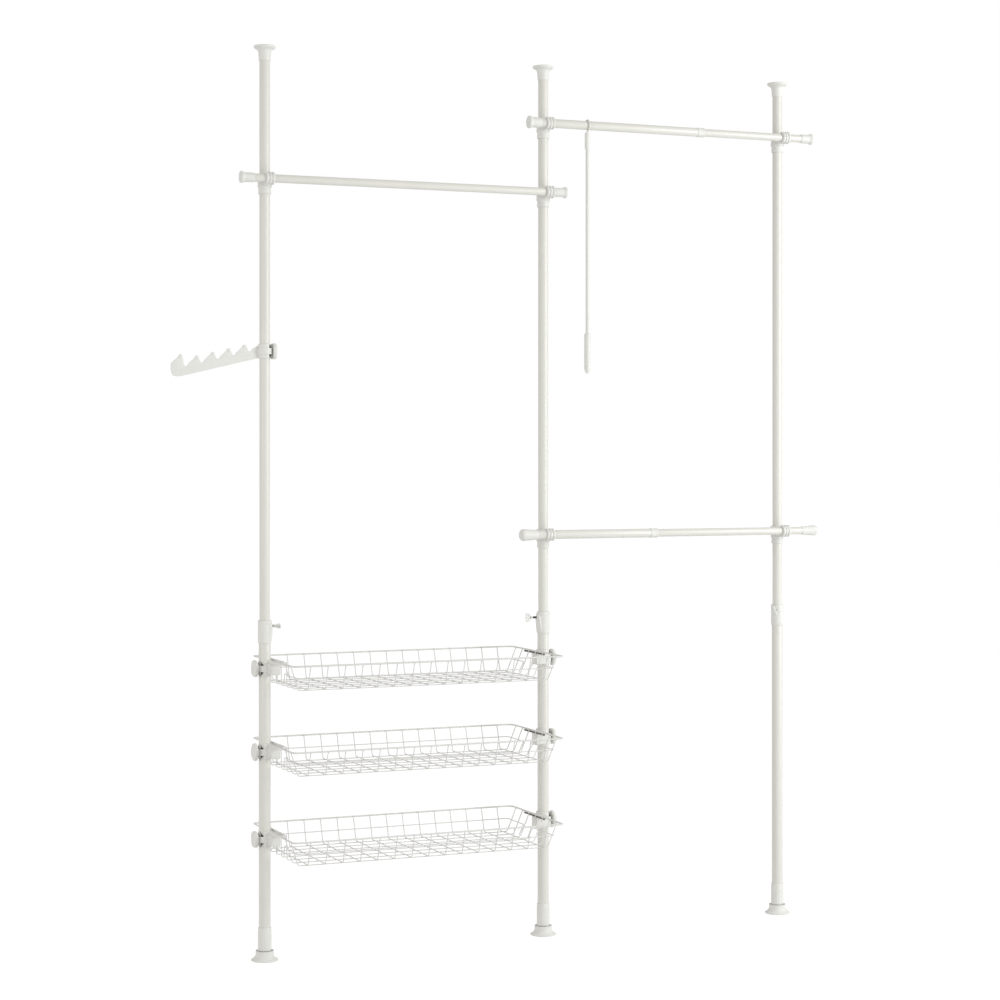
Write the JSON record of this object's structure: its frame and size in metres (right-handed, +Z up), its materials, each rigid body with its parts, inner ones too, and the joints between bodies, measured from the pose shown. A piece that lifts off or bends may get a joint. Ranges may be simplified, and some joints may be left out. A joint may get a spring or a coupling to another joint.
{
  "type": "wardrobe shelving system",
  "caption": "Telescopic floor-to-ceiling poles with cross rails, wire baskets on clamped brackets, a notched hanger arm and a hanging reach pole.",
  "frame": {"origin": "centre of the underside of the middle pole's foot, on the floor", "axes": "+X along the row of poles to the viewer's right, +Y to the back, +Z up along the poles"},
  "size_m": [1.936, 0.3568, 2.44],
  "materials": {
    "white_steel": "smooth white powder coat on steel tube",
    "white_plastic": "moulded white plastic with a slight sheen",
    "white_wire": "white powder coat on welded steel wire",
    "grey_steel": "thin white coat on steel rod and wire",
    "black_rubber": "matt black rubber"
  },
  "bodies": {
    "lower_frame": {"left_lower_tubes": "white_steel", "left_sleeves": "white_plastic"},
    "upper_frame": {"left_upper_tubes": "white_steel", "left_ceiling_caps": "white_plastic"},
    "right_pole": {"right_lower_tube": "white_steel", "right_sleeve": "white_plastic"},
    "right_pole_top": {"right_upper_tube": "white_steel", "right_ceiling_cap": "white_plastic"},
    "rail_1": {"rail_1_tube": "white_steel", "rail_1_end_caps": "white_plastic", "rail_1_clamps": "white_plastic"},
    "rail_2": {"rail_2_outer_tube": "white_steel", "rail_2_left_fittings": "white_plastic"},
    "rail_2_inner": {"rail_2_inner_tube": "white_steel", "rail_2_right_fittings": "white_plastic"},
    "rail_3": {"rail_3_outer_tube": "white_steel", "rail_3_left_fittings": "white_plastic"},
    "rail_3_inner": {"rail_3_inner_tube": "white_steel", "rail_3_right_fittings": "white_plastic"},
    "hanger_arm": {"hanger_arm": "white_plastic", "hanger_arm_pressure_pad": "black_rubber"},
    "hanger_arm_knob": {"hanger_arm_knob": "white_plastic"},
    "reach_pole": {"reach_pole_rod_and_hook": "grey_steel", "reach_pole_socket_and_grip": "white_plastic"},
    "foot_1": {"foot_1": "white_plastic"},
    "adjuster_1": {"adjuster_1": "white_plastic"},
    "wing_screw_1": {"wing_screw_1": "white_plastic"},
    "foot_2": {"foot_2": "white_plastic"},
    "adjuster_2": {"adjuster_2": "white_plastic"},
    "wing_screw_2": {"wing_screw_2": "white_plastic"},
    "foot_3": {"foot_3": "white_plastic"},
    "adjuster_3": {"adjuster_3": "white_plastic"},
    "wing_screw_3": {"wing_screw_3": "white_plastic"},
    "shelf_1": {"shelf_1_brackets": "white_plastic", "shelf_1_pressure_pads": "black_rubber"},
    "shelf_1_knobs": {"shelf_1_knobs": "white_plastic"},
    "basket_1": {"shelf_1_basket": "white_wire"},
    "shelf_2": {"shelf_2_brackets": "white_plastic", "shelf_2_pressure_pads": "black_rubber"},
    "shelf_2_knobs": {"shelf_2_knobs": "white_plastic"},
    "basket_2": {"shelf_2_basket": "white_wire"},
    "shelf_3": {"shelf_3_brackets": "white_plastic", "shelf_3_pressure_pads": "black_rubber"},
    "shelf_3_knobs": {"shelf_3_knobs": "white_plastic"},
    "basket_3": {"shelf_3_basket": "white_wire"}
  },
  "joints": [
    {"name": "pole_extension", "type": "slide", "parent": "lower_frame", "child": "upper_frame", "axis": [0, 0, 1], "range_m": [-0.08, 0.35]},
    {"name": "right_pole_shift", "type": "slide", "parent": "lower_frame", "child": "right_pole", "axis": [1, 0, 0], "range_m": [-0.1, 0.12]},
    {"name": "right_pole_extension", "type": "slide", "parent": "right_pole", "child": "right_pole_top", "axis": [0, 0, 1], "range_m": [-0.08, 0.35]},
    {"name": "rail_1_height", "type": "slide", "parent": "upper_frame", "child": "rail_1", "axis": [0, 0, 1], "range_m": [-0.3, 0.05]},
    {"name": "rail_2_height", "type": "slide", "parent": "upper_frame", "child": "rail_2", "axis": [0, 0, 1], "range_m": [-0.05, 0.08]},
    {"name": "rail_2_extension", "type": "slide", "parent": "rail_2", "child": "rail_2_inner", "axis": [1, 0, 0], "range_m": [-0.1, 0.12]},
    {"name": "rail_3_height", "type": "slide", "parent": "upper_frame", "child": "rail_3", "axis": [0, 0, 1], "range_m": [-0.08, 0.35]},
    {"name": "rail_3_extension", "type": "slide", "parent": "rail_3", "child": "rail_3_inner", "axis": [1, 0, 0], "range_m": [-0.1, 0.12]},
    {"name": "adjuster_1_turn", "type": "hinge", "parent": "lower_frame", "child": "adjuster_1", "pos_m": [-0.816, 0, 0.0268], "axis": [0, 0, 1], "range_deg": [0, 3600]},
    {"name": "foot_1_jack", "type": "slide", "parent": "lower_frame", "child": "foot_1", "axis": [0, 0, 1], "range_m": [-0.03, 0]},
    {"name": "adjuster_2_turn", "type": "hinge", "parent": "lower_frame", "child": "adjuster_2", "pos_m": [0, 0, 0.0268], "axis": [0, 0, 1], "range_deg": [0, 3600]},
    {"name": "foot_2_jack", "type": "slide", "parent": "lower_frame", "child": "foot_2", "axis": [0, 0, 1], "range_m": [-0.03, 0]},
    {"name": "adjuster_3_turn", "type": "hinge", "parent": "right_pole", "child": "adjuster_3", "pos_m": [0.756, 0, 0.0268], "axis": [0, 0, 1], "range_deg": [0, 3600]},
    {"name": "foot_3_jack", "type": "slide", "parent": "right_pole", "child": "foot_3", "axis": [0, 0, 1], "range_m": [-0.03, 0]},
    {"name": "wing_screw_1_turn", "type": "hinge", "parent": "lower_frame", "child": "wing_screw_1", "pos_m": [-0.816, 0, 0.887], "axis": [0.9397, -0.342, 0], "continuous": true},
    {"name": "wing_screw_2_turn", "type": "hinge", "parent": "lower_frame", "child": "wing_screw_2", "pos_m": [0, 0, 0.887], "axis": [-1, 0, 0], "continuous": true},
    {"name": "wing_screw_3_turn", "type": "hinge", "parent": "right_pole", "child": "wing_screw_3", "pos_m": [0.756, 0, 0.887], "axis": [-0.6428, -0.766, 0], "continuous": true},
    {"name": "shelf_1_height", "type": "slide", "parent": "lower_frame", "child": "shelf_1", "axis": [0, 0, 1], "range_m": [-0.04, 0.015]},
    {"name": "basket_1_lift", "type": "slide", "parent": "shelf_1", "child": "basket_1", "axis": [0, 0, 1], "range_m": [0, 0.02]},
    {"name": "shelf_1_knobs_turn", "type": "hinge", "parent": "shelf_1", "child": "shelf_1_knobs", "pos_m": [-0.816, 0, 0.779], "axis": [1, 0, 0], "continuous": true},
    {"name": "shelf_2_height", "type": "slide", "parent": "lower_frame", "child": "shelf_2", "axis": [0, 0, 1], "range_m": [-0.04, 0.04]},
    {"name": "basket_2_lift", "type": "slide", "parent": "shelf_2", "child": "basket_2", "axis": [0, 0, 1], "range_m": [0, 0.03]},
    {"name": "shelf_2_knobs_turn", "type": "hinge", "parent": "shelf_2", "child": "shelf_2_knobs", "pos_m": [-0.816, 0, 0.5565], "axis": [1, 0, 0], "continuous": true},
    {"name": "shelf_3_height", "type": "slide", "parent": "lower_frame", "child": "shelf_3", "axis": [0, 0, 1], "range_m": [-0.15, 0.05]},
    {"name": "basket_3_lift", "type": "slide", "parent": "shelf_3", "child": "basket_3", "axis": [0, 0, 1], "range_m": [0, 0.03]},
    {"name": "shelf_3_knobs_turn", "type": "hinge", "parent": "shelf_3", "child": "shelf_3_knobs", "pos_m": [-0.816, 0, 0.324], "axis": [1, 0, 0], "continuous": true},
    {"name": "hanger_arm_swivel", "type": "hinge", "parent": "upper_frame", "child": "hanger_arm", "pos_m": [-0.816, 0, 1.625], "axis": [0, 0, 1], "continuous": true},
    {"name": "hanger_arm_knob_turn", "type": "hinge", "parent": "hanger_arm", "child": "hanger_arm_knob", "pos_m": [-0.816, 0, 1.625], "axis": [1, 0, 0], "continuous": true},
    {"name": "reach_pole_swing", "type": "hinge", "parent": "rail_2", "child": "reach_pole", "pos_m": [0.117, -0.043, 2.274], "axis": [1, 0, 0], "range_deg": [-40, 40]}
  ],
  "couplings": [
    {"joint": "right_pole_extension", "follows": "pole_extension", "ratio": 1},
    {"joint": "rail_2_extension", "follows": "right_pole_shift", "ratio": 1},
    {"joint": "rail_3_extension", "follows": "right_pole_shift", "ratio": 1},
    {"joint": "adjuster_1_turn", "follows": "foot_1_jack", "rad_per_m": -2094.3},
    {"joint": "adjuster_2_turn", "follows": "foot_2_jack", "rad_per_m": -2094.3},
    {"joint": "adjuster_3_turn", "follows": "foot_3_jack", "rad_per_m": -2094.3}
  ]
}
